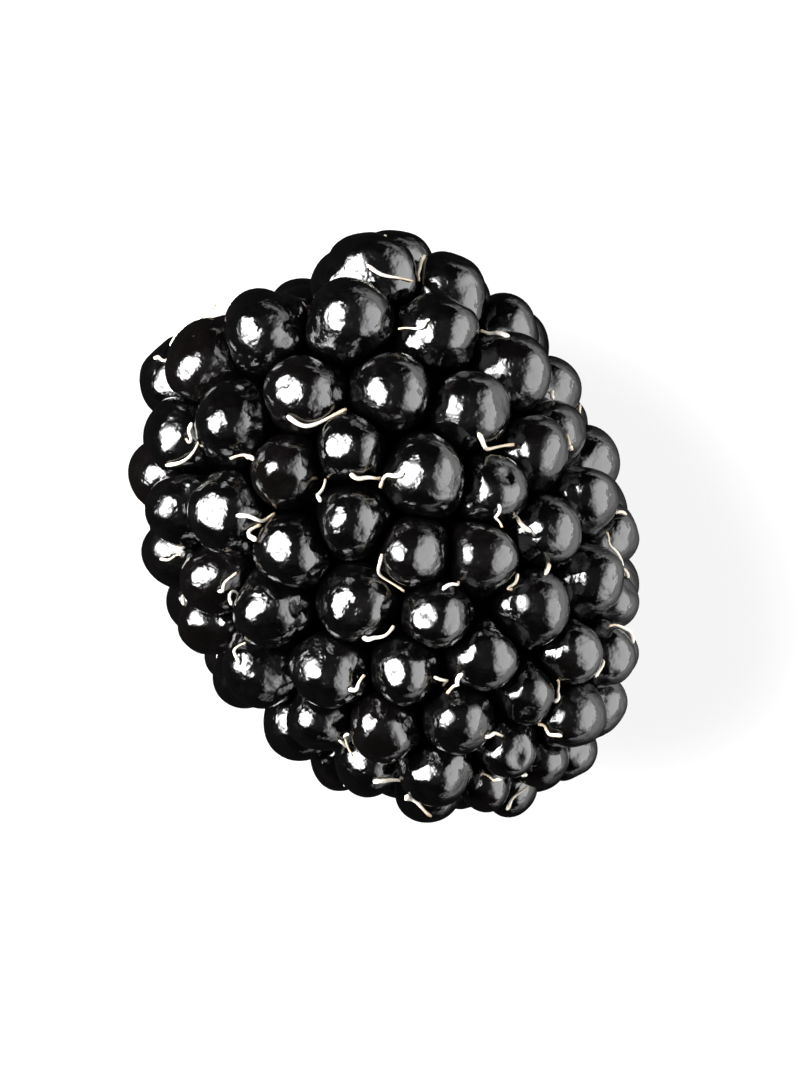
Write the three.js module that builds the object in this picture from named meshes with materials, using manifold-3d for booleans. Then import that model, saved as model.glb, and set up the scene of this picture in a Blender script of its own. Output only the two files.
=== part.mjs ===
// Bramble berry: ripe, picked without its stalk, and lying on its side.
// Millimetres, +Z up, the tip towards -Y and the stem end towards +Y. The origin is the
// middle of the bounding box's bottom face.
import * as THREE from "three";
import Module from "manifold-3d";

const wasm = await Module();
wasm.setup();

// The form that the drupelets' centres lie on

const HALF_LENGTH = 13.1; // middle of the form to its tip
const HALF_WIDTH = 9.35; // axis to the form at its widest
const TAPER = 0.09; // how much fuller the stem half is than the tip half
const FULLNESS = 0.9; // below 1, the ends are blunter than an ellipse's
const STEM_RING = 5.6; // distance from the axis to the ring of drupelets round the scar

// A point of the form at angle phi, from 0 at the stem end to pi at the tip: its place
// along the axis and its distance from the axis.
function formAt(phi) {
  return {
    along: HALF_LENGTH * Math.cos(phi),
    out: HALF_WIDTH * Math.sin(phi) ** FULLNESS * (1 + TAPER * Math.cos(phi)),
  };
}

// The form's outward direction at phi, from the difference of two near points.
function outwardAt(phi) {
  const step = 1e-4;
  const a = formAt(Math.max(phi - step, 1e-6));
  const b = formAt(Math.min(phi + step, Math.PI - 1e-6));
  const length = Math.hypot(b.out - a.out, b.along - a.along);
  return { along: (b.out - a.out) / length, out: (a.along - b.along) / length };
}

// The angle phi of the form's point that is seen from the middle in the direction of
// (along, out).
function phiOf(along, out) {
  const wanted = Math.atan2(out / HALF_WIDTH, along / HALF_LENGTH);
  let phi = wanted;
  for (let k = 0; k < 8; k++) {
    const at = formAt(phi);
    phi += wanted - Math.atan2(at.out / HALF_WIDTH, at.along / HALF_LENGTH);
    phi = Math.min(Math.max(phi, 1e-3), Math.PI - 1e-3);
  }
  return phi;
}

// The angle phi at which the ring of drupelets round the scar stands, by halving.
function firstPhi() {
  let low = 0.01;
  let high = 1.2;
  for (let k = 0; k < 50; k++) {
    const middle = (low + high) / 2;
    if (formAt(middle).out < STEM_RING) low = middle;
    else high = middle;
  }
  return low;
}

// The drupelets: a spiral like a real berry's, jostled until they fit

const COUNT = 116; // drupelets on the berry
const BEAD = 2.0; // radius of a drupelet midway between the ends
const GOLDEN = Math.PI * (3 - Math.sqrt(5)); // turn from each drupelet to the next
const TURN_SPAN = 0.22; // radians between the smallest and the largest turn
const SIZE_SPAN = 0.26; // between the smallest and the largest, in the usual radius
const SPREAD = 1.03; // wanted distance between neighbours, in the sum of their radii
const ROUNDS = 60; // of neighbours pushing each other
const PUSH = 0.25; // of a missing distance, that each of two neighbours moves in a round
const OWN_SIZE = 0.4; // share of its first size that a drupelet keeps
const FILL = 0.535; // radius for the room that a drupelet has between its neighbours
const LARGEST = 2.15; // radius that no drupelet exceeds
const PHI_START = firstPhi();

// A repeatable number from 0 to 1 for drupelet i and use k.
function draw(i, k) {
  const s = Math.sin(i * 12.9898 + k * 78.233) * 43758.5453;
  return s - Math.floor(s);
}

// Drupelets are about the same size up to the middle and get smaller towards the tip:
// 1.03 of BEAD at the stem end and in the middle, and 0.81 of it at the tip.
function sizeAt(phi) {
  return 1.03 + 0.11 * Math.cos(phi) - 0.11 * Math.cos(phi) ** 2;
}

// Spiral places, spread evenly by area for the size that a drupelet has there.
function spiral() {
  const steps = 4000;
  const total = [0];
  for (let k = 0; k < steps; k++) {
    const a = formAt(PHI_START + ((Math.PI - PHI_START) * k) / steps);
    const b = formAt(PHI_START + ((Math.PI - PHI_START) * (k + 1)) / steps);
    const middle = PHI_START + ((Math.PI - PHI_START) * (k + 0.5)) / steps;
    const band = ((a.out + b.out) / 2) * Math.hypot(b.out - a.out, b.along - a.along);
    total.push(total[k] + band / sizeAt(middle) ** 2);
  }
  const seeds = [];
  let k = 0;
  for (let i = 0; i < COUNT; i++) {
    const wanted = ((i + 0.5) / COUNT) * total[steps];
    while (total[k + 1] < wanted) k++;
    const part = (wanted - total[k]) / (total[k + 1] - total[k]);
    const phi = PHI_START + ((Math.PI - PHI_START) * (k + part)) / steps;
    const turn = i * GOLDEN + TURN_SPAN * (draw(i, 1) - 0.5);
    const at = formAt(phi);
    seeds.push({
      x: at.out * Math.cos(turn),
      y: at.along,
      z: at.out * Math.sin(turn),
      r: BEAD * sizeAt(phi) * (1 + SIZE_SPAN * (draw(i, 2) - 0.5)),
    });
  }
  return seeds;
}

// Neighbours that are too close push each other along the form. At the end each drupelet
// takes the size of the room it has.
function jostle(beads) {
  for (let round = 0; round < ROUNDS; round++) {
    const push = beads.map(() => [0, 0, 0]);
    for (let i = 0; i < COUNT; i++) {
      for (let j = i + 1; j < COUNT; j++) {
        const a = beads[i];
        const b = beads[j];
        const gap = [b.x - a.x, b.y - a.y, b.z - a.z];
        const distance = Math.hypot(...gap);
        const short = SPREAD * (a.r + b.r) - distance;
        if (short <= 0) continue;
        for (let c = 0; c < 3; c++) {
          push[i][c] -= (PUSH * short * gap[c]) / distance;
          push[j][c] += (PUSH * short * gap[c]) / distance;
        }
      }
    }
    beads.forEach((bead, i) => {
      const x = bead.x + push[i][0];
      const z = bead.z + push[i][2];
      const out = Math.hypot(x, z);
      const phi = Math.max(phiOf(bead.y + push[i][1], out), PHI_START);
      const at = formAt(phi);
      bead.x = (at.out * x) / out;
      bead.y = at.along;
      bead.z = (at.out * z) / out;
      bead.phi = phi;
    });
  }
  const room = beads.map((a) => {
    const gaps = beads.map((b) => Math.hypot(b.x - a.x, b.y - a.y, b.z - a.z));
    gaps.sort((p, q) => p - q);
    return (gaps[1] + gaps[2] + gaps[3] + gaps[4] + gaps[5]) / 5;
  });
  beads.forEach((bead, i) => {
    bead.r = Math.min(OWN_SIZE * bead.r + (1 - OWN_SIZE) * FILL * room[i], LARGEST);
  });
}

const AXIS_HEIGHT = 10.15; // of the berry's axis above the surface it lies on
const FLATNESS = 0.965; // height of the berry's round section for its width
const BEND = 0.5; // sideways bow of the axis at the ends
const PROUD_SPAN = 0.56; // between the drupelet that stands lowest and the highest
const SAG = 0.9; // the lowest drupelets are flattened to this share of their radius

// Each drupelet stands a little proud or shy of the form, on an axis with a slight bow;
// the ones underneath settle on the surface.
function settle(beads) {
  beads.forEach((bead, i) => {
    const outward = outwardAt(bead.phi);
    const around = Math.hypot(bead.x, bead.z);
    bead.nx = (outward.out * bead.x) / around;
    bead.ny = outward.along;
    bead.nz = (outward.out * bead.z) / around;
    const proud = PROUD_SPAN * (draw(i, 3) - 0.5);
    bead.x += proud * bead.nx + BEND * ((bead.y / HALF_LENGTH) ** 2 - 0.5);
    bead.y += proud * bead.ny;
    bead.z = (bead.z + proud * bead.nz) * FLATNESS + AXIS_HEIGHT;
    bead.z = Math.max(bead.z, SAG * bead.r);
  });
}

const beads = spiral();
jostle(beads);
settle(beads);
const middleOf = (axis) =>
  (Math.min(...beads.map((b) => b[axis] - b.r)) + Math.max(...beads.map((b) => b[axis] + b.r))) / 2;
const MIDDLE = { x: middleOf("x"), y: middleOf("y") };

// One grown skin over all the drupelets

// Site 0 stands for the receptacle's end, where the stalk came away; the drupelets follow.
const SCAR_RADIUS = 3.6; // from the axis to the scar's rim
const SCAR_LEVEL = 10.9; // where the drupelets' roots meet the receptacle, along the axis
const RIM_RISE = 0.45; // of the scar's rim over the roots, at a drupelet
const RIM_SWAY = 0.15; // the rim runs in at each drupelet and out between two
const NEAR = 0.5; // neighbours are seen from the middle less than 60 degrees apart
const middle = new THREE.Vector3(-MIDDLE.x, -MIDDLE.y, AXIS_HEIGHT);
const sites = [
  { at: new THREE.Vector3(0, SCAR_LEVEL, 0).add(middle), up: new THREE.Vector3(0, 1, 0), r: SCAR_RADIUS },
  ...beads.map((b) => ({
    at: new THREE.Vector3(b.x - MIDDLE.x, b.y - MIDDLE.y, b.z),
    up: new THREE.Vector3(b.nx, b.ny, b.nz).normalize(),
    r: b.r,
  })),
];

// Triples of neighbours: the faces of the hull of the sites' directions from the middle.
function neighbourTriples() {
  const seen = sites.map((site) => site.at.clone().sub(middle).normalize());
  const triples = [];
  const normal = new THREE.Vector3();
  for (let i = 0; i < seen.length; i++) {
    for (let j = i + 1; j < seen.length; j++) {
      if (seen[i].dot(seen[j]) < NEAR) continue;
      for (let k = j + 1; k < seen.length; k++) {
        if (seen[i].dot(seen[k]) < NEAR) continue;
        normal.crossVectors(
          seen[j].clone().sub(seen[i]),
          seen[k].clone().sub(seen[i]),
        );
        if (normal.dot(seen[i]) < 0) normal.negate();
        const level = normal.dot(seen[i]) + 1e-12;
        if (seen.every((point) => normal.dot(point) <= level)) triples.push([i, j, k]);
      }
    }
  }
  return triples;
}

const points = [];
function vertex(point) {
  return points.push(point) - 1;
}

// The crest of the crease between two neighbours, where their round sides meet.
const crests = new Map();
function crest(i, j) {
  const key = Math.min(i, j) * 1000 + Math.max(i, j);
  if (crests.has(key)) return crests.get(key);
  const a = sites[Math.min(i, j)];
  const b = sites[Math.max(i, j)];
  let point;
  if (a === sites[0]) {
    point = b.at.clone().sub(a.at).setY(0).setLength(SCAR_RADIUS - RIM_SWAY).add(a.at);
    point.y += RIM_RISE;
  } else {
    const share = a.r / (a.r + b.r);
    point = a.at.clone().lerp(b.at, share);
    const rise = Math.sqrt(Math.max(a.r ** 2 - (share * a.at.distanceTo(b.at)) ** 2, 0.05));
    point.addScaledVector(a.up.clone().add(b.up).normalize(), rise);
  }
  crests.set(key, vertex(point));
  return crests.get(key);
}

// The pit between three neighbours, a little below their centres.
const PIT = 0.3;
function pit([i, j, k]) {
  const [a, b, c] = [sites[i], sites[j], sites[k]];
  if (i === 0) {
    const point = b.at.clone().add(c.at).multiplyScalar(0.5).sub(a.at);
    return vertex(point.setY(0).setLength(SCAR_RADIUS + RIM_SWAY).add(a.at));
  }
  const up = a.up.clone().add(b.up).add(c.up).normalize();
  const point = a.at.clone().add(b.at).add(c.at).divideScalar(3);
  return vertex(point.addScaledVector(up, -PIT));
}

// The closed ring of crests and pits round each site, in order round its own axis.
const rings = sites.map(() => new Set());
for (const triple of neighbourTriples()) {
  const low = pit(triple);
  for (const [i, j, k] of [triple, [triple[1], triple[2], triple[0]], [triple[2], triple[0], triple[1]]]) {
    rings[i].add(low).add(crest(i, j)).add(crest(i, k));
  }
}

// The vertices of a ring, sorted by their turn round the site's own axis.
function inOrder(site, ring) {
  const side = new THREE.Vector3(0.31, 0.87, 0.38).cross(site.up).normalize();
  const other = site.up.clone().cross(side);
  const turnOf = (v) => {
    const from = points[v].clone().sub(site.at);
    return Math.atan2(from.dot(other), from.dot(side));
  };
  return [...ring].sort((a, b) => turnOf(a) - turnOf(b));
}

// Two triangles between each two neighbours of an inner ring and those of an outer ring.
const faces = [];
function band(inner, outer) {
  for (let k = 0; k < outer.length; k++) {
    const next = (k + 1) % outer.length;
    faces.push(inner[k], outer[k], outer[next], inner[k], outer[next], inner[next]);
  }
}

// A drupelet's dome, in rings from its top down to the crests and pits round it. It keeps
// the drupelet's radius nearly to its edge, and bends to the ring's own reach there.
const DOME_RINGS = 4;
const TOP = 1.02; // the top stands this much over the drupelet's radius
function dome(site, ring) {
  const top = vertex(site.at.clone().addScaledVector(site.up, site.r * TOP));
  let inner = null;
  for (let s = 1; s <= DOME_RINGS; s++) {
    const share = s / DOME_RINGS;
    const outer = ring.map((v) => {
      if (s === DOME_RINGS) return v;
      const edge = points[v].clone().sub(site.at);
      const height = edge.dot(site.up);
      const level = edge.clone().addScaledVector(site.up, -height);
      const tilt = share * Math.atan2(level.length(), height);
      const reach = site.r + (edge.length() - site.r) * share ** 4;
      const point = level.setLength(reach * Math.sin(tilt));
      return vertex(point.addScaledVector(site.up, reach * Math.cos(tilt)).add(site.at));
    });
    if (inner) band(inner, outer);
    else outer.forEach((v, k) => faces.push(top, v, outer[(k + 1) % outer.length]));
    inner = outer;
  }
}

// The scar: a shallow dish inside a raised rim, with a stub of the stalk's core in the
// middle. Rows of [distance from the axis, height over the roots].
const SCAR = [
  [3.15, 0.7],
  [2.5, 0.25],
  [1.5, 0.05],
  [1.05, 0.45],
  [0.6, 0.6],
];
const STUB_TOP = 0.62; // height of the stub's middle over the roots

function scar(site, ring) {
  let outer = ring;
  for (const [out, height] of SCAR) {
    const inner = ring.map((v) => {
      const point = points[v].clone().sub(site.at).setY(0).setLength(out);
      return vertex(point.setY(height).add(site.at));
    });
    band(inner, outer);
    outer = inner;
  }
  const top = vertex(new THREE.Vector3(0, STUB_TOP, 0).add(site.at));
  outer.forEach((v, k) => faces.push(top, v, outer[(k + 1) % outer.length]));
}

sites.forEach((site, i) => {
  const ring = inOrder(site, rings[i]);
  if (i === 0) scar(site, ring);
  else dome(site, ring);
});

// The closed skin, cut level where the berry rests

const grown = new wasm.Manifold(
  new wasm.Mesh({
    numProp: 3,
    vertProperties: new Float32Array(points.flatMap((p) => [p.x, p.y, p.z])),
    triVerts: new Uint32Array(faces),
  }),
).trimByPlane([0, 0, 1], 0);

const mesh = grown.getMesh();
const skin = new THREE.BufferGeometry();
skin.setAttribute("position", new THREE.BufferAttribute(new Float32Array(mesh.vertProperties), 3));
skin.setIndex([...mesh.triVerts]);
skin.computeVertexNormals();

const berry = new THREE.Mesh(
  skin,
  new THREE.MeshStandardMaterial({ color: 0x120c14, roughness: 0.2, metalness: 0 }),
);
berry.name = "berry";

const part = new THREE.Group();
part.add(berry);

export default part;
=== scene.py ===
# A ripe bramble berry, picked without its stalk, lying on its side on a white table.
# Sizes are in millimetres until a mesh is made; +Z is up, the tip points along -Y.
import math

import bpy
import numpy as np
from mathutils import Matrix, Vector


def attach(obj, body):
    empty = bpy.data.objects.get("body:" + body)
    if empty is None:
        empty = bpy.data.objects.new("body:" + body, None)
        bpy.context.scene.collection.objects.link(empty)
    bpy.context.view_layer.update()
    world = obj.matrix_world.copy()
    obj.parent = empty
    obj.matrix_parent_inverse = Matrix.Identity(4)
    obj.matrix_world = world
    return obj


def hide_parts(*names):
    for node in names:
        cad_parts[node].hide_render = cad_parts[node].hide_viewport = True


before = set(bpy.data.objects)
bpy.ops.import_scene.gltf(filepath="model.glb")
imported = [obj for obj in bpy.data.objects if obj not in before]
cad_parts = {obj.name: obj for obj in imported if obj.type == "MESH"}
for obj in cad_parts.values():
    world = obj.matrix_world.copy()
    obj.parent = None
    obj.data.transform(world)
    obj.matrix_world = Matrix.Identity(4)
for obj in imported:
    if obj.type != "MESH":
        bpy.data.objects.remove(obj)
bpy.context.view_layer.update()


# The drupelets. Each is a juicy bead in a thin, taut, waxy skin, grown on to the core in a
# spiral and pressed against its neighbours, so its flanks are flattened and only its top
# is round. Ripe skin is all but black, with a trace of wine red where the light gets in.
MM = 0.001
HALF_LENGTH = 13.1  # middle of the form that the beads' centres lie on to its tip
HALF_WIDTH = 9.35  # axis to that form at its widest
TAPER = 0.09  # how much fuller the form's stem half is than its tip half
FULLNESS = 0.9  # below 1, the form's ends are blunter than an ellipse's
FLATNESS = 0.965  # height of the form's section for its width
AXIS_HEIGHT = 10.15  # of the form's axis over the table
BEND = 0.5  # sideways bow of the axis at the ends
STEM_RING = 5.6  # axis to the beads that stand round the scar
COUNT = 116  # beads on the berry
BEAD = 2.0  # radius of a bead midway between the ends
LARGEST = 2.15  # radius that no bead exceeds
GOLDEN = math.pi * (3 - math.sqrt(5))  # turn from each bead to the next
TURN_SPAN = 0.22  # radians between the smallest and the largest unevenness of that turn
SIZE_SPAN = 0.26  # between the smallest and the largest, in the usual radius
SPREAD = 1.03  # wanted distance between neighbours, in the sum of their radii
ROUNDS = 60  # of neighbours pushing each other
PUSH = 0.25  # of a missing distance, that each of two neighbours moves in a round
OWN_SIZE = 0.4  # share of its first size that a bead keeps; the rest follows its room
FILL = 0.535  # radius for the room between a bead's neighbours
PROUD_SPAN = 0.56  # between the bead that stands lowest on the form and the highest
SAG = 0.9  # the lowest beads' centres stand this share of their radius over the table
NOT_ITSELF = 99 * np.eye(COUNT)  # added to distances, so that no bead is its own neighbour


def unit(v):
    """Vectors over their lengths."""
    return v / np.linalg.norm(v, axis=-1, keepdims=True)


def form_at(phi):
    """Place along the axis and distance from it at angle phi: an ellipse with blunter ends,
    fuller towards the stem."""
    along = HALF_LENGTH * np.cos(phi)
    out = HALF_WIDTH * np.sin(phi) ** FULLNESS * (1 + TAPER * np.cos(phi))
    return along, out


def outward_at(phi):
    """The form's outward direction: the slope between two near points, turned square."""
    along_a, out_a = form_at(np.maximum(phi - 1e-4, 1e-6))
    along_b, out_b = form_at(np.minimum(phi + 1e-4, math.pi - 1e-6))
    length = np.hypot(out_b - out_a, along_b - along_a)
    return (out_b - out_a) / length, (along_a - along_b) / length


def phi_of(along, out):
    """The angle phi of the form's point seen from the middle towards (along, out), found by
    adding what is still missing to it a few times."""
    wanted = np.arctan2(out / HALF_WIDTH, along / HALF_LENGTH)
    phi = wanted.copy()
    for _ in range(8):
        at_along, at_out = form_at(phi)
        phi += wanted - np.arctan2(at_out / HALF_WIDTH, at_along / HALF_LENGTH)
        phi = np.clip(phi, 1e-3, math.pi - 1e-3)
    return phi


def first_phi():
    """The angle phi of the ring of beads round the scar, by halving."""
    low, high = 0.01, 1.2
    for _ in range(50):
        middle = (low + high) / 2
        low, high = (middle, high) if form_at(middle)[1] < STEM_RING else (low, middle)
    return low


PHI_START = first_phi()


def draw(i, k):
    """A repeatable number from 0 to 1 for bead i and use k: the loose end of a large sine."""
    s = np.sin(i * 12.9898 + k * 78.233) * 43758.5453
    return s - np.floor(s)


def size_at(phi):
    """A bead's size in BEAD: 1.03 at the stem end and in the middle, and 0.81 at the tip."""
    return 1.03 + 0.11 * np.cos(phi) - 0.11 * np.cos(phi) ** 2


def grow_beads():
    """Centres, outward directions, radii and phi of all the beads, and the shift that brings
    the berry over the origin. They start on a spiral that gives each the same room for its
    size, push apart along the form, and take the size of the room that is left."""
    steps = 4000
    phi = PHI_START + (math.pi - PHI_START) * np.arange(steps + 1) / steps
    along, out = form_at(phi)
    middle = (phi[1:] + phi[:-1]) / 2
    band = (out[1:] + out[:-1]) / 2 * np.hypot(np.diff(out), np.diff(along))
    total = np.concatenate([[0], np.cumsum(band / size_at(middle) ** 2)])
    i = np.arange(COUNT)
    phi = np.interp((i + 0.5) / COUNT * total[-1], total, phi)
    turn = i * GOLDEN + TURN_SPAN * (draw(i, 1) - 0.5)
    radius = BEAD * size_at(phi) * (1 + SIZE_SPAN * (draw(i, 2) - 0.5))
    along, out = form_at(phi)
    place = np.stack([out * np.cos(turn), along, out * np.sin(turn)], axis=1)

    for _ in range(ROUNDS):
        gap = place[None] - place[:, None]
        distance = np.linalg.norm(gap, axis=2) + NOT_ITSELF
        short = np.maximum(SPREAD * (radius[:, None] + radius[None]) - distance, 0)
        place = place - PUSH * (gap * (short / distance)[:, :, None]).sum(axis=1)
        around = np.hypot(place[:, 0], place[:, 2])
        phi = np.maximum(phi_of(place[:, 1], around), PHI_START)
        along, out = form_at(phi)
        place = np.stack([out * place[:, 0] / around, along, out * place[:, 2] / around], axis=1)

    # A bead's room is the mean distance to its five nearest neighbours.
    gaps = np.linalg.norm(place[None] - place[:, None], axis=2)
    room = np.sort(gaps, axis=1)[:, 1:6].mean(axis=1)
    radius = np.minimum(OWN_SIZE * radius + (1 - OWN_SIZE) * FILL * room, LARGEST)

    up_along, up_out = outward_at(phi)
    around = np.hypot(place[:, 0], place[:, 2])
    up = np.stack([up_out * place[:, 0] / around, up_along, up_out * place[:, 2] / around], axis=1)
    proud = PROUD_SPAN * (draw(i, 3) - 0.5)
    x = place[:, 0] + proud * up[:, 0] + BEND * ((place[:, 1] / HALF_LENGTH) ** 2 - 0.5)
    y = place[:, 1] + proud * up[:, 1]
    z = np.maximum((place[:, 2] + proud * up[:, 2]) * FLATNESS + AXIS_HEIGHT, SAG * radius)
    shift = [(np.min(c - radius) + np.max(c + radius)) / 2 for c in (x, y)]
    centre = np.stack([x - shift[0], y - shift[1], z], axis=1)
    return centre, unit(up), radius, phi, shift


centre, up, radius, phi, shift = grow_beads()
bead = np.arange(COUNT)

# Each bead's own axes: `tip_side` runs along the berry towards the tip, `round_side` round it.
tip_side = unit(np.cross(unit(np.cross(up, [0.0, 1.0, 0.0])), up))
tip_side *= np.where(tip_side[:, 1] > 0, -1.0, 1.0)[:, None]
round_side = np.cross(up, tip_side)


def way_from(which, tilt, turn):
    """Directions out of the beads `which`, which come first in every array: `tilt` off each
    bead's top and `turn` round its own axis, in radians."""
    shape = (len(which),) + (1,) * (tilt.ndim - 1) + (3,)
    top, tipward, sideward = [axis[which].reshape(shape) for axis in (up, tip_side, round_side)]
    return (
        top * np.cos(tilt)[..., None]
        + tipward * (np.sin(tilt) * np.cos(turn))[..., None]
        + sideward * (np.sin(tilt) * np.sin(turn))[..., None]
    )


# Walls between neighbours: the plane where two pressed beads meet, a little short of it.
MOST_NEIGHBOURS = 12
SKIN_GAP = 0.05  # from a bead's flank to that plane
SQUEEZE = 9  # higher makes the edge between a bead's round top and flat flank tighter
away = centre[None] - centre[:, None]
apart = np.linalg.norm(away, axis=2) + NOT_ITSELF
nearest = np.argsort(apart, axis=1)[:, :MOST_NEIGHBOURS]
wall_far = np.take_along_axis(apart, nearest, axis=1)
wall_way = away[bead[:, None], nearest] / wall_far[:, :, None]
wall = (wall_far**2 + radius[:, None] ** 2 - radius[nearest] ** 2) / (2 * wall_far) - SKIN_GAP

# Soft waves of the skin over the stone inside: each runs its own way over the bead. A
# wave's speed is in radians of the wave over the bead's radius.
WAVES = 6
STEEPNESS = 0.065  # of a wave's flank; a quick wave is as steep as a slow one, so it is lower
wave = np.arange(WAVES)
wave_way = np.stack([draw(bead[:, None] * 7 + wave, 20 + c) - 0.5 for c in range(3)], axis=2)
wave_speed = 2.5 + 3.5 * draw(bead[:, None] * 5 + wave, 24)
wave_way = unit(wave_way) * wave_speed[:, :, None]
wave_phase = 2 * math.pi * draw(bead[:, None] * 11 + wave, 25)
wave_size = STEEPNESS / wave_speed

# The dimple where the style stood, a little to one side of each bead's top. Its depth is in
# the radius, and its width is in radians seen from the bead's centre.
DEEPEST_DIMPLE = 0.17
dimple_turn = 2 * math.pi * draw(bead, 30)
dimple_tilt = 0.15 + 0.35 * draw(bead, 31)
dimple_way = way_from(bead, dimple_tilt, dimple_turn)
dimple_depth = DEEPEST_DIMPLE * draw(bead, 32) ** 1.6
dimple_width = 0.22 + 0.12 * draw(bead, 33)

# Half axes of the beads, in the radius: no two beads are quite alike, and those round the
# scar are the longest.
LONG = 0.95  # along the berry
WIDE = 0.93  # round it
TALL = 1.06  # outwards
SHAPE_SPAN = 0.12  # between the shortest and the longest bead, and between the widths
BY_SCAR = 0.14  # how much longer a bead is beside the scar
FOOT = 0.45  # how much wider a bead is at its foot, where it meets the others in the pits
FOOT_BAND = 0.3  # it widens over this share of its height on either side of its centre
beside_scar = np.exp(-(((phi - PHI_START) / 0.2) ** 2))
half_long = radius * (LONG + SHAPE_SPAN * (draw(bead, 5) - 0.5) + BY_SCAR * beside_scar)
half_wide = radius * (WIDE + SHAPE_SPAN * (draw(bead, 6) - 0.5))
half_tall = radius * TALL


def reach(way):
    """Distance from each bead's centre to its skin towards `way`, (beads, ..., 3). A soft
    minimum of an ellipsoid with a wider foot and the walls to its neighbours, then waves
    and the dimple."""
    flat = way.reshape(COUNT, -1, 3)
    rise = np.einsum("bmc,bc->bm", flat, up)
    lengthwise = np.einsum("bmc,bc->bm", flat, tip_side)
    sideways = np.einsum("bmc,bc->bm", flat, round_side)
    ball = 1 / np.sqrt(
        (rise / half_tall[:, None]) ** 2
        + (lengthwise / half_long[:, None]) ** 2
        + (sideways / half_wide[:, None]) ** 2
    )
    ball = ball * (1 + FOOT * np.clip((FOOT_BAND - rise) / (2 * FOOT_BAND), 0, 1))
    towards = np.maximum(np.einsum("bmc,bkc->bmk", flat, wall_way), 1e-3)
    to_wall = wall[:, None, :] / towards
    squeezed = (ball**-SQUEEZE + (to_wall**-SQUEEZE).sum(axis=2)) ** (-1 / SQUEEZE)
    waves = np.sin(np.einsum("bmc,bwc->bmw", flat, wave_way) + wave_phase[:, None, :])
    uneven = (wave_size[:, None, :] * waves).sum(axis=2)
    off = np.arccos(np.clip(np.einsum("bmc,bc->bm", flat, dimple_way), -1, 1))
    dimple = dimple_depth[:, None] * np.exp(-((off / dimple_width[:, None]) ** 2))
    return (squeezed * (1 + uneven - dimple)).reshape(way.shape[:-1])


def bead_points(tilt, turn):
    """Points of every bead's skin on the grid of angles tilt from its top and turn round it."""
    way = way_from(bead, tilt[None, :, None], turn[None, None, :])
    return centre[:, None, None] + way * reach(way)[..., None]


TABLE_EDGE = 0.02  # height over which a bead underneath turns from round to flat


def on_table(points):
    """Beads underneath sit flat on the table: a height z becomes the mean of z and the root
    of z squared and TABLE_EDGE squared, which is never below 0."""
    z = points[..., 2]
    lifted = points.copy()
    lifted[..., 2] = (z + np.sqrt(z**2 + TABLE_EDGE**2)) / 2
    return lifted


def closed_shells(name, tops, rings, bottoms, values):
    """A piece of closed shells. Each runs from a top point over rings of points to a bottom
    point, and neighbouring rings are joined by quads. `values` are named numbers for every
    point, in the same order."""
    shells, rows, columns, _ = rings.shape
    per_shell = rows * columns + 2
    flat = rings.reshape(shells, rows * columns, 3)
    points = np.concatenate([tops[:, None], flat, bottoms[:, None]], axis=1).reshape(-1, 3)
    ring = 1 + np.arange(rows * columns).reshape(rows, columns)
    ahead = np.roll(ring, -1, axis=1)
    top_fan = np.stack([np.zeros(columns, int), ring[0], ahead[0]], axis=1)
    bottom_fan = np.stack([np.full(columns, per_shell - 1), ahead[-1], ring[-1]], axis=1)
    quads = np.stack([ring[:-1], ring[1:], ahead[1:], ahead[:-1]], axis=2).reshape(-1, 4)
    first = np.arange(shells)[:, None, None] * per_shell
    faces = (first + np.concatenate([top_fan, bottom_fan])).reshape(-1, 3).tolist()
    faces += (first + quads).reshape(-1, 4).tolist()
    mesh = bpy.data.meshes.new(name)
    mesh.from_pydata((points * MM).tolist(), [], faces)
    for label, numbers in values.items():
        layer = mesh.attributes.new(label, "FLOAT", "POINT")
        layer.data.foreach_set("value", np.asarray(numbers, dtype=np.float32).ravel())
    mesh.shade_smooth()
    piece = bpy.data.objects.new(name, mesh)
    bpy.context.scene.collection.objects.link(piece)
    return piece


COLUMNS = 34  # points round a bead
ROWS = 21  # rings of them, the first 0.6 of a step off its top
LAST_TILT = math.radians(128)  # of the last ring, hidden between the beads
HEEL = 0.75  # in the radius, from a bead's centre to the point in the core that closes it
turn = np.linspace(0, 2 * math.pi, COLUMNS, endpoint=False)
tilt = LAST_TILT * (np.arange(ROWS) + 0.6) / (ROWS - 0.4)
drupelets = closed_shells(
    "drupelets",
    on_table(bead_points(np.zeros(1), turn[:1]))[:, 0, 0],
    on_table(bead_points(tilt, turn)),
    centre - up * (radius * HEEL)[:, None],
    {"ripeness": np.repeat(draw(bead, 8)[:, None], ROWS * COLUMNS + 2, axis=1)},
)


def linear(code):
    """Linear red, green, blue and alpha 1 from an sRGB hex code: small values are divided by
    12.92, and the rest are raised to the power 2.4."""
    parts = [int(code[k : k + 2], 16) / 255 for k in (1, 3, 5)]
    return (*[c / 12.92 if c <= 0.04045 else ((c + 0.055) / 1.055) ** 2.4 for c in parts], 1.0)


def add(tree, kind, settings=None, inputs=None, output=0):
    """One shader node with its settings. An input is a value or the output that feeds it;
    what comes back is the node's output of that name or number."""
    node = tree.nodes.new(kind)
    for name, value in (settings or {}).items():
        setattr(node, name, value)
    for name, value in (inputs or {}).items():
        if isinstance(value, bpy.types.NodeSocket):
            tree.links.new(value, node.inputs[name])
        else:
            node.inputs[name].default_value = value
    return node.outputs[output]


def new_material(name):
    """An empty material with its tree and its shader."""
    material = bpy.data.materials.new(name)
    material.use_nodes = True
    return material, material.node_tree, material.node_tree.nodes["Principled BSDF"]


COLOURS = {"data_type": "RGBA"}  # a Mix node's colour inputs are 6 and 7 and its output is 2
EASED = {"interpolation_type": "SMOOTHSTEP"}  # a Map Range that eases in and out at its ends
GRAIN = 0.6 / MM  # noise scale for grains about 1 mm across; it is divided by other sizes

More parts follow.
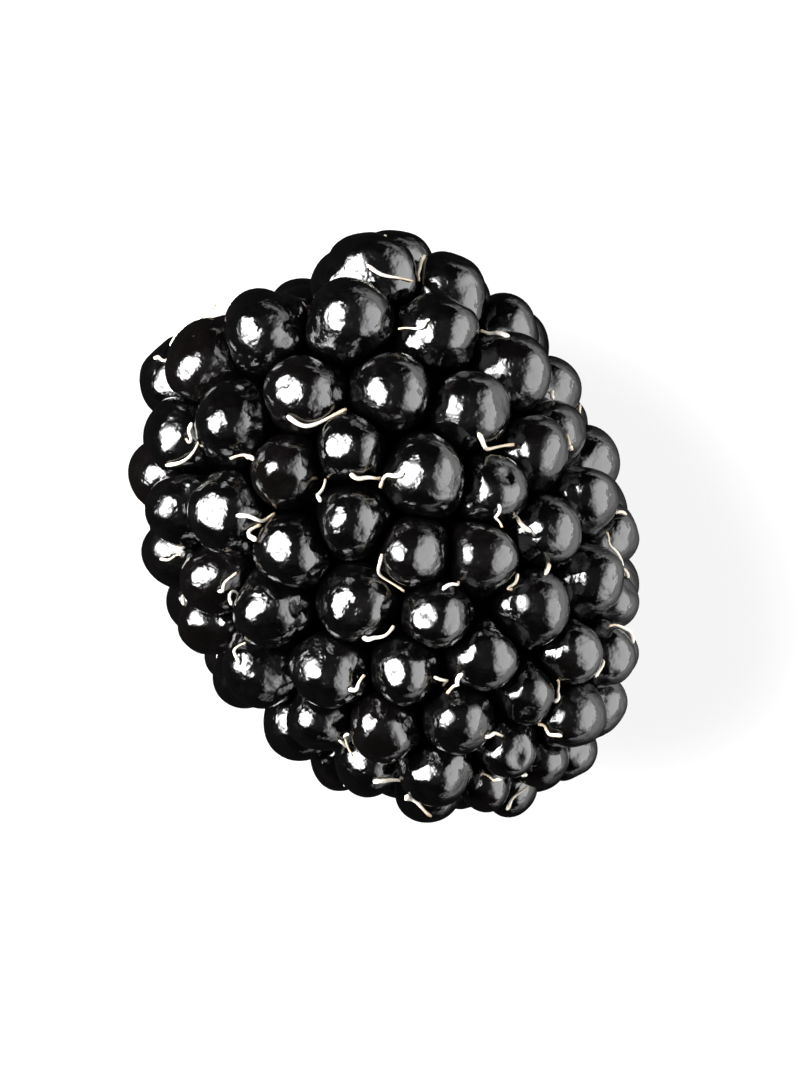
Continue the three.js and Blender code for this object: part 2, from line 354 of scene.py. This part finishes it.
# Drupelet skin: a cuticle of wax over purple-black juice. It gives a sharp wet-looking
# highlight, broken a little by the wax, and hardly any colour of its own. Its patches of
# redder juice are 0.9 mm across, and the wax is uneven every 0.45 mm.
skin, tree, shader = new_material("ripe drupelet skin")
place = add(tree, "ShaderNodeTexCoord", output="Object")
ripe = add(tree, "ShaderNodeAttribute", {"attribute_name": "ripeness"}, output="Fac")
riper = add(tree, "ShaderNodeMapRange", EASED, {"Value": ripe, "From Min": 0.55, "From Max": 1.0})
night = add(tree, "ShaderNodeMix", COLOURS, {0: riper, 6: linear("#020202"), 7: linear("#040303")}, 2)
mottle = add(tree, "ShaderNodeTexNoise", None, {"Vector": place, "Scale": GRAIN / 0.9, "Detail": 3.0})
redder = add(
    tree,
    "ShaderNodeMapRange",
    EASED,
    {"Value": mottle, "From Min": 0.5, "From Max": 0.75, "To Max": 0.5},
)
skin_colour = add(tree, "ShaderNodeMix", COLOURS, {0: redder, 6: night, 7: linear("#060405")}, 2)
tree.links.new(skin_colour, shader.inputs["Base Color"])
wax = add(
    tree,
    "ShaderNodeTexNoise",
    None,
    {"Vector": place, "Scale": GRAIN / 0.45, "Detail": 4.0, "Roughness": 0.6},
)
dullness = add(
    tree,
    "ShaderNodeMapRange",
    EASED,
    {"Value": wax, "From Min": 0.38, "From Max": 0.66, "To Min": 0.08, "To Max": 0.19},
)
tree.links.new(dullness, shader.inputs["Roughness"])
shader.inputs["IOR"].default_value = 1.45
shader.inputs["Specular IOR Level"].default_value = 0.7
shader.inputs["Coat Weight"].default_value = 0.35
shader.inputs["Coat Roughness"].default_value = 0.08
# Slow ripples of the skin over the pulp, a crinkle of the wax, and pores; the real crinkle
# is about 0.1 mm wide and is drawn coarser so that it shows.
ripple = add(
    tree,
    "ShaderNodeTexNoise",
    None,
    {"Vector": place, "Scale": GRAIN / 0.85, "Detail": 2.0, "Roughness": 0.45},
)
crinkle = add(tree, "ShaderNodeTexNoise", None, {"Vector": place, "Scale": GRAIN / 0.36, "Detail": 2.0})
pores = add(tree, "ShaderNodeTexNoise", None, {"Vector": place, "Scale": GRAIN / 0.2, "Detail": 1.0})
relief = add(tree, "ShaderNodeMath", {"operation": "MULTIPLY_ADD"}, {0: crinkle, 1: 0.42, 2: ripple})
relief = add(tree, "ShaderNodeMath", {"operation": "MULTIPLY_ADD"}, {0: pores, 1: 0.06, 2: relief})
bump = add(tree, "ShaderNodeBump", None, {"Strength": 0.9, "Distance": 0.22 * MM, "Height": relief})
tree.links.new(bump, shader.inputs["Normal"])
drupelets.data.materials.append(skin)
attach(drupelets, "root")
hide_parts("berry")


# The receptacle: the spongy core that the drupelets grow on. It shows only at the stem
# end, as the pale dish that is left where the stalk breaks away, with the stub of the
# stalk's pith in its middle and juice stains at its rim.
SUNK = 1.1  # how far the core's skin lies inside the form of the beads' centres
SCAR_LEVEL = 10.9  # where the beads' roots meet the core, along the axis
SCAR_START = 0.4  # length under that level over which the scar's torn tissue begins
# Half of the scar's section, from its rim over the dish to the top of the stub: distances
# from the axis, and the heights over the roots there.
SCAR_OUT = [3.75, 3.6, 3.4, 3.15, 2.85, 2.5, 2.0, 1.5, 1.2, 1.05, 0.85, 0.6, 0.25]
SCAR_HEIGHT = [0.0, 0.3, 0.58, 0.7, 0.55, 0.25, 0.12, 0.05, 0.25, 0.45, 0.56, 0.6, 0.62]
SCAR_EDGE = 3.9  # distance from the axis past which nothing is torn
RIM_START = 2.6  # distance from the axis at which the dish rises to its rim
STUB = 1.0  # distance from the axis at which the stub ends and the fibres begin
FIBRE_HEIGHT = 0.035
RIM_HEIGHT = 0.07  # unevenness of the rim along the axis
RIM_SWAY = 0.012  # unevenness of the rim outwards, in its distance from the axis


def core_points(turn, share):
    """Points of the core: turn runs round it and share from 0 at the tip to 1 at the middle
    of the scar. The body follows the beads' form, the scar its drawn section, with sines of
    the turn for its fibres and its ragged rim."""
    # The form from just off its tip to just short of the ring of beads round the scar.
    body_phi = np.linspace(math.pi - 0.02, PHI_START + 0.12, 60)
    along, out = form_at(body_phi)
    up_along, up_out = outward_at(body_phi)
    body = np.stack([out - SUNK * up_out, along - SUNK * up_along], axis=1)
    scar = np.stack([SCAR_OUT, SCAR_HEIGHT], axis=1) + [0, SCAR_LEVEL]
    path = np.concatenate([body, scar])
    length = np.concatenate([[0], np.cumsum(np.hypot(*np.diff(path, axis=0).T))])
    s = share * length[-1]
    distance = np.interp(s, length, path[:, 0])[:, None] * np.ones_like(turn)
    along = np.interp(s, length, path[:, 1])[:, None] * np.ones_like(turn)
    at_scar = np.clip((along - (SCAR_LEVEL - SCAR_START)) / SCAR_START, 0, 1) * (distance < SCAR_EDGE)
    fibres = np.sin(turn * 23 + 2.0 * np.sin(turn * 3)) + 0.7 * np.sin(turn * 41 + 1.3)
    ragged = np.sin(turn * 5 + 0.6) + 0.6 * np.sin(turn * 9 + 2.1)
    torn = FIBRE_HEIGHT * fibres * np.clip(distance - STUB, 0, 1)
    torn = torn + RIM_HEIGHT * ragged * (distance > RIM_START)
    along = along + at_scar * torn
    distance = distance * (1 + RIM_SWAY * at_scar * ragged)
    x = distance * np.cos(turn) + BEND * ((along / HALF_LENGTH) ** 2 - 0.5) - shift[0]
    z = distance * np.sin(turn) * FLATNESS + AXIS_HEIGHT
    return np.stack([x, along - shift[1], z], axis=-1), distance, at_scar


CORE_COLUMNS = 120
BODY_ROWS, SCAR_ROWS = 50, 70  # more rows where the core shows
BODY_SHARE = 0.72  # of the section's length, from the tip to a little under the scar
body_rows = np.linspace(0.003, BODY_SHARE, BODY_ROWS, endpoint=False)
scar_rows = np.linspace(BODY_SHARE, 0.997, SCAR_ROWS)
core_turn = np.linspace(0, 2 * math.pi, CORE_COLUMNS, endpoint=False)
core_rings, core_out, core_scar = core_points(core_turn, np.concatenate([body_rows, scar_rows]))
# The first and the last ring are small, and a point just beyond the middle of each closes it.
receptacle = closed_shells(
    "receptacle",
    core_rings[:1].mean(axis=1) + [0, -0.02, 0],
    core_rings[None],
    core_rings[-1:].mean(axis=1) + [0, 0.01, 0],
    {
        "out": np.concatenate([[0], core_out.ravel(), [0]]),
        "scar": np.concatenate([[0], core_scar.ravel(), [1]]),
    },
)

# Receptacle flesh: pale spongy pith with cells drawn 0.35 mm across so that they show. It is
# greener in the ring of sap vessels and stained by juice where it meets the drupelets. All over
# beneath them it is painted near-black, as painted shade in the creases between the beads.
pith, tree, shader = new_material("receptacle pith")
place = add(tree, "ShaderNodeTexCoord", output="Object")
out = add(tree, "ShaderNodeAttribute", {"attribute_name": "out"}, output="Fac")
scarred = add(tree, "ShaderNodeAttribute", {"attribute_name": "scar"}, output="Fac")
sponge = add(
    tree,
    "ShaderNodeTexNoise",
    None,
    {"Vector": place, "Scale": GRAIN / 0.35, "Detail": 4.0, "Roughness": 0.65},
)
cells = add(tree, "ShaderNodeMapRange", EASED, {"Value": sponge, "From Min": 0.35, "From Max": 0.65})
cream = add(tree, "ShaderNodeMix", COLOURS, {0: cells, 6: linear("#8d866c"), 7: linear("#aaa28a")}, 2)
sappy = add(tree, "ShaderNodeMapRange", EASED, {"Value": out, "From Min": 1.0, "From Max": 2.4})
vessels = add(tree, "ShaderNodeMix", COLOURS, {0: sappy, 6: cream, 7: linear("#6d6a50")}, 2)
juice = add(tree, "ShaderNodeTexNoise", None, {"Vector": place, "Scale": GRAIN / 1.3, "Detail": 3.0})
reach_in = add(tree, "ShaderNodeMath", {"operation": "MULTIPLY_ADD"}, {0: juice, 1: 2.4, 2: out})
stained = add(tree, "ShaderNodeMapRange", EASED, {"Value": reach_in, "From Min": 3.5, "From Max": 4.6})
rim = add(tree, "ShaderNodeMix", COLOURS, {0: stained, 6: vessels, 7: linear("#2c1018")}, 2)
# Away from the scar, beneath the beads, the pith is painted near-black: painted shade for the creases.
pith_colour_and_painted_shade = add(tree, "ShaderNodeMix", COLOURS, {0: scarred, 6: linear("#010101"), 7: rim}, 2)
tree.links.new(pith_colour_and_painted_shade, shader.inputs["Base Color"])
shader.inputs["Roughness"].default_value = 0.7
shader.inputs["Specular IOR Level"].default_value = 0.0
bump = add(tree, "ShaderNodeBump", None, {"Strength": 0.7, "Distance": 0.12 * MM, "Height": sponge})
tree.links.new(bump, shader.inputs["Normal"])
receptacle.data.materials.append(pith)
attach(receptacle, "root")


# The dried styles: the thread that each drupelet's flower part leaves, withered to a fine
# curled straw-coloured hair. It starts on the bead's top and lies down into the crease.
STYLE_SHARE = 0.75  # of the beads at the stem end that keep theirs, rising to all at the tip
STYLE_ROWS = 20  # rings along a style
STYLE_SIDES = 5  # points in a ring
CLEARANCE = 0.08  # wanted distance of a style's middle line from a bead's skin
GIVE = 0.6  # share of the way out of a bead that a point moves in a round
LOWEST = 0.12  # least height of a style's middle line over the table
styled = bead[draw(bead, 40) < STYLE_SHARE + (1 - STYLE_SHARE) * phi / math.pi]


def smooth(path, times):
    """Each time, all points but the ends move halfway to the middle of their neighbours."""
    for _ in range(times):
        path[:, 1:-1] = 0.5 * path[:, 1:-1] + 0.25 * (path[:, 2:] + path[:, :-2])
    return path


def out_of_beads(path, rounds, smoothings):
    """Each round moves a path's points that are inside a bead part of the way out of it,
    away from its centre, then smooths the path."""
    for _ in range(rounds):
        off = path.reshape(1, -1, 3) - centre[:, None]
        far = np.linalg.norm(off, axis=2)
        lack = reach(off / far[..., None]) + CLEARANCE - far
        worst = lack.argmax(axis=0)
        index = np.arange(off.shape[1])
        push = GIVE * np.maximum(lack[worst, index], 0) / far[worst, index]
        path = smooth(path + (off[worst, index] * push[:, None]).reshape(path.shape), smoothings)
    return path


def style_paths(which, s):
    """A path for each style: tilt grows from near the bead's top to its flank while the
    turn swings, just over the skin. On that runs a corkscrew that widens towards the tip,
    of a turn or two, and points inside a bead are moved out of it. s runs from 0 to 1."""
    number = which[:, None]
    # The root stands 0.6 to 1 radian off the top, and the tip 0.35 to 0.8 further down.
    tilt = 0.6 + 0.45 * draw(number, 41) + (0.35 + 0.45 * draw(number, 42)) * s
    tilt = tilt + 0.14 * np.sin(2 * math.pi * (s * 1.3 + draw(number, 51))) * s
    # On the way it swings up to 1.2 radians to one side, and curls to and fro by 0.4.
    swing = (draw(number, 43) - 0.5) * 2.4 * s**1.2
    curl = 0.42 * np.sin(2 * math.pi * (s * (0.9 + draw(number, 44)) + draw(number, 45))) * s**0.7
    turn = 2 * math.pi * draw(number, 46) + swing + curl
    # It lies 0.09 mm over the skin, and its middle and its tip stand up a little more.
    lift = 0.09 + 0.5 * s * (1 - s) * draw(number, 47) + 0.35 * s**3 * draw(number, 48)
    far = radius[which][:, None] * 0.97 + lift
    path = centre[which][:, None] + way_from(which, tilt, turn) * far[..., None]
    path = smooth(out_of_beads(path, rounds=8, smoothings=6), 9)
    ahead = unit(np.gradient(path, axis=1))
    outward = path - centre[which][:, None]
    outward = unit(outward - ahead * (outward * ahead).sum(axis=2, keepdims=True))
    across = np.cross(ahead, outward)
    # The corkscrew makes 0.9 to 1.8 turns, either way round, and is 0.1 to 0.3 mm in radius.
    coil = 2 * math.pi * (0.9 + 0.9 * draw(number, 52)) * s
    wide = (0.1 + 0.22 * draw(number, 53)) * s**0.8 * np.where(draw(number, 54) < 0.5, -1, 1)
    path = path + across * (wide * np.sin(coil))[..., None]
    path = path + outward * (np.abs(wide) * (1 - np.cos(coil)))[..., None]
    path = out_of_beads(path, rounds=4, smoothings=3)
    path[..., 2] = np.maximum(path[..., 2], LOWEST)
    return path


def tube_rings(path, thick):
    """Rings round each path: a frame is carried along it without twisting, and the ring's
    radius is `thick` at each step. It is turned clockwise, so that faces point outwards."""
    no_start = [0.31, 0.62, 0.72]  # a direction in which no style sets out
    ahead = unit(np.gradient(path, axis=1))
    side = unit(np.cross(ahead[:, 0], no_start))
    sides = [side]
    for row in range(1, path.shape[1]):
        side = unit(side - ahead[:, row] * (side * ahead[:, row]).sum(axis=1, keepdims=True))
        sides.append(side)
    side = np.stack(sides, axis=1)
    other = np.cross(ahead, side)
    angle = np.linspace(2 * math.pi, 0, STYLE_SIDES, endpoint=False)[:, None]
    ring = side[:, :, None] * np.cos(angle) + other[:, :, None] * np.sin(angle)
    return path[:, :, None] + ring * thick[..., None, None]


# A style tapers from its root and swells again to the dried stigma at its tip.
THIN = 0.04  # radius of the thinnest stretch
ROOT = 0.075  # added to that radius at the root
STIGMA = 0.03  # added to it at the tip
s = np.linspace(0, 1, STYLE_ROWS)[None]
paths = style_paths(styled, s)
thick = THIN + ROOT * (1 - s) ** 0.8 + STIGMA * np.exp(-(((s - 0.97) / 0.06) ** 2))
thick = thick * (0.8 + 0.5 * draw(styled, 49))[:, None] * np.minimum(0.45 + 6 * s, 1)
along_style = np.concatenate([[0.0], np.repeat(s[0], STYLE_SIDES), [1.0]])
styles = closed_shells(
    "styles",
    paths[:, 0],
    tube_rings(paths, thick),
    paths[:, -1],
    {
        "along": np.tile(along_style, (len(styled), 1)),
        "dryness": np.repeat(draw(styled, 50)[:, None], STYLE_ROWS * STYLE_SIDES + 2, axis=1),
    },
)

# Dried style: papery plant fibre, bone to straw, browner at its withered end. Its strands
# are a few hundredths of a millimetre wide and are drawn coarser so that they show.
fibre, tree, shader = new_material("dried style fibre")
place = add(tree, "ShaderNodeTexCoord", output="Object")
along = add(tree, "ShaderNodeAttribute", {"attribute_name": "along"}, output="Fac")
dryness = add(tree, "ShaderNodeAttribute", {"attribute_name": "dryness"}, output="Fac")
straw = add(tree, "ShaderNodeMix", COLOURS, {0: dryness, 6: linear("#cfcbc3"), 7: linear("#bdb3a1")}, 2)
strands = add(tree, "ShaderNodeTexNoise", None, {"Vector": place, "Scale": GRAIN / 0.12, "Detail": 2.0})
streaks = add(
    tree,
    "ShaderNodeMapRange",
    EASED,
    {"Value": strands, "From Min": 0.5, "From Max": 0.75, "To Max": 0.6},
)
straw = add(tree, "ShaderNodeMix", COLOURS, {0: streaks, 6: straw, 7: linear("#94866d")}, 2)
withered = add(tree, "ShaderNodeMapRange", EASED, {"Value": along, "From Min": 0.55, "From Max": 1.0})
fibre_colour = add(tree, "ShaderNodeMix", COLOURS, {0: withered, 6: straw, 7: linear("#a3927a")}, 2)
tree.links.new(fibre_colour, shader.inputs["Base Color"])
shader.inputs["Roughness"].default_value = 0.5
bump = add(tree, "ShaderNodeBump", None, {"Strength": 0.5, "Distance": 0.02 * MM, "Height": strands})
tree.links.new(bump, shader.inputs["Normal"])
styles.data.materials.append(fibre)
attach(styles, "root")


# The studio, in metres: a white table under a large soft window on the left of the picture,
# a larger and dimmer white wall on the right, and a dark room. The camera looks straight
# down, as the photograph does.
ROLL = math.radians(28)  # turn of the berry's stem end to the left of the picture's top
TABLE_SIZE = 6
LIGHT_DISTANCE = 0.5
picture_up = Vector((math.sin(ROLL), math.cos(ROLL), 0))
picture_right = Vector((math.cos(ROLL), -math.sin(ROLL), 0))
target = Vector((0, 0, 10)) * MM

# The camera sees the table as white paint under a painted white glow, a little dimmer far off.
# Reflections and bounced light see it as near-black paint, which is painted shade, and a painted
# glow on it only further off on the right stands in for the lit table there, so that the creases
# and the underside stay black.
bpy.ops.mesh.primitive_plane_add(size=TABLE_SIZE)
table_top = bpy.context.object
table_top.name = "table_top"
paint, tree, shader = new_material("matt white table with painted glow")
seen = add(tree, "ShaderNodeLightPath", output="Is Camera Ray")
# Near-black paint that only reflections and bounced light see: painted shade.
painted_shade_for_bounces = (0.003, 0.003, 0.003, 1)
white_paint = (0.15, 0.15, 0.15, 1)
shade = add(tree, "ShaderNodeMix", COLOURS, {0: seen, 6: painted_shade_for_bounces, 7: white_paint}, 2)
tree.links.new(shade, shader.inputs["Base Color"])
shader.inputs["Roughness"].default_value = 1.0
shader.inputs["Specular IOR Level"].default_value = 0.0
place = add(tree, "ShaderNodeTexCoord", output="Object")
rightward = add(tree, "ShaderNodeVectorMath", {"operation": "DOT_PRODUCT"}, {0: place, 1: picture_right}, 1)
# A painted glow on the table's right side, seen only in reflections and bounced light, standing in for the
# table lit there.
painted_glow_right = add(
    tree,
    "ShaderNodeMapRange",
    EASED,
    {"Value": rightward, "From Min": 10 * MM, "From Max": 50 * MM, "To Max": 1.6},
)
far_off = add(tree, "ShaderNodeVectorMath", {"operation": "LENGTH"}, {0: place}, 1)
# The painted white glow that the camera sees on the table, dimmer far off.
white = add(
    tree,
    "ShaderNodeMapRange",
    EASED,
    {"Value": far_off, "From Min": 34 * MM, "From Max": 160 * MM, "To Min": 0.75, "To Max": 0.4},
)
glow = add(tree, "ShaderNodeMix", {"data_type": "FLOAT"}, {"Factor": seen, "A": painted_glow_right, "B": white})
shader.inputs["Emission Color"].default_value = (1, 1, 1, 1)
tree.links.new(glow, shader.inputs["Emission Strength"])
table_top.data.materials.append(paint)


def turned(side, top, back, place):
    """The matrix that puts a lamp or camera at `place`, with its X, Y and Z along the three
    directions."""
    return Matrix.Translation(place) @ Matrix((side, top, back)).transposed().to_4x4()


def soft_light(name, right, upward, tilt, size, brightness, soft_edge):
    """An oval light, `tilt` degrees off the vertical towards (right, upward) in the picture.
    `brightness` is that of its middle where white paper is 1, and its watts are pi times
    the oval's area for each unit of it. `soft_edge` is the share of its half width over
    which it fades to nothing at its rim."""
    side = (picture_right * right + picture_up * upward).normalized()
    way = side * math.sin(math.radians(tilt)) + Vector((0, 0, math.cos(math.radians(tilt))))
    data = bpy.data.lights.new(name, "AREA")
    data.shape = "ELLIPSE"
    data.size, data.size_y = size
    data.energy = brightness * math.pi * math.pi / 4 * size[0] * size[1]
    data.use_nodes = True
    tree = data.node_tree
    place = add(tree, "ShaderNodeTexCoord", output="UV")
    off = add(tree, "ShaderNodeVectorMath", {"operation": "DISTANCE"}, {0: place, 1: (0.5, 0.5, 0)}, 1)
    fade = add(
        tree,
        "ShaderNodeMapRange",
        EASED,
        {"Value": off, "From Min": 0.5 * (1 - soft_edge), "From Max": 0.5, "To Min": 1.0, "To Max": 0.0},
    )
    tree.links.new(fade, tree.nodes["Emission"].inputs["Strength"])
    light = bpy.data.objects.new(name, data)
    bpy.context.scene.collection.objects.link(light)
    across = Vector((0, 0, 1)).cross(way).normalized()
    light.matrix_world = turned(across, way.cross(across), way, target + way * LIGHT_DISTANCE)


soft_light("window", -1, 0.15, tilt=48, size=(0.6, 0.58), brightness=38, soft_edge=0.5)
soft_light("wall", 1, -0.05, tilt=68, size=(1.6, 1.15), brightness=5.6, soft_edge=0.7)

# The room is all but dark, a little lighter straight overhead. The camera sees pale grey.
world = bpy.data.worlds.new("dark room")
bpy.context.scene.world = world
world.use_nodes = True
tree = world.node_tree
seen = add(tree, "ShaderNodeLightPath", output="Is Camera Ray")
sky = add(tree, "ShaderNodeTexCoord", output="Generated")
height = add(tree, "ShaderNodeSeparateXYZ", None, {"Vector": sky}, "Z")
ceiling = add(
    tree,
    "ShaderNodeMapRange",
    EASED,
    {"Value": height, "From Min": 0.6, "From Max": 0.97, "To Min": 0.002, "To Max": 0.09},
)
pale_grey = (0.5, 0.5, 0.51, 1)
around = add(tree, "ShaderNodeMix", COLOURS, {0: seen, 6: ceiling, 7: pale_grey}, 2)
tree.links.new(around, tree.nodes["Background"].inputs["Color"])

FRAME_WIDTH = 38.5 * MM
CAMERA_HEIGHT = 0.6
SENSOR = 36
camera_data = bpy.data.cameras.new("camera")
camera_data.sensor_fit = "HORIZONTAL"
camera_data.sensor_width = SENSOR
camera_data.lens = SENSOR * CAMERA_HEIGHT / FRAME_WIDTH
camera_data.clip_start, camera_data.clip_end = 0.01, 10
camera = bpy.data.objects.new("camera", camera_data)
bpy.context.scene.collection.objects.link(camera)
overhead = Vector((0, 0, 1))
camera.matrix_world = turned(picture_right, picture_up, overhead, target + overhead * CAMERA_HEIGHT)
bpy.context.scene.camera = camera
bpy.context.scene.view_settings.view_transform = "Standard"
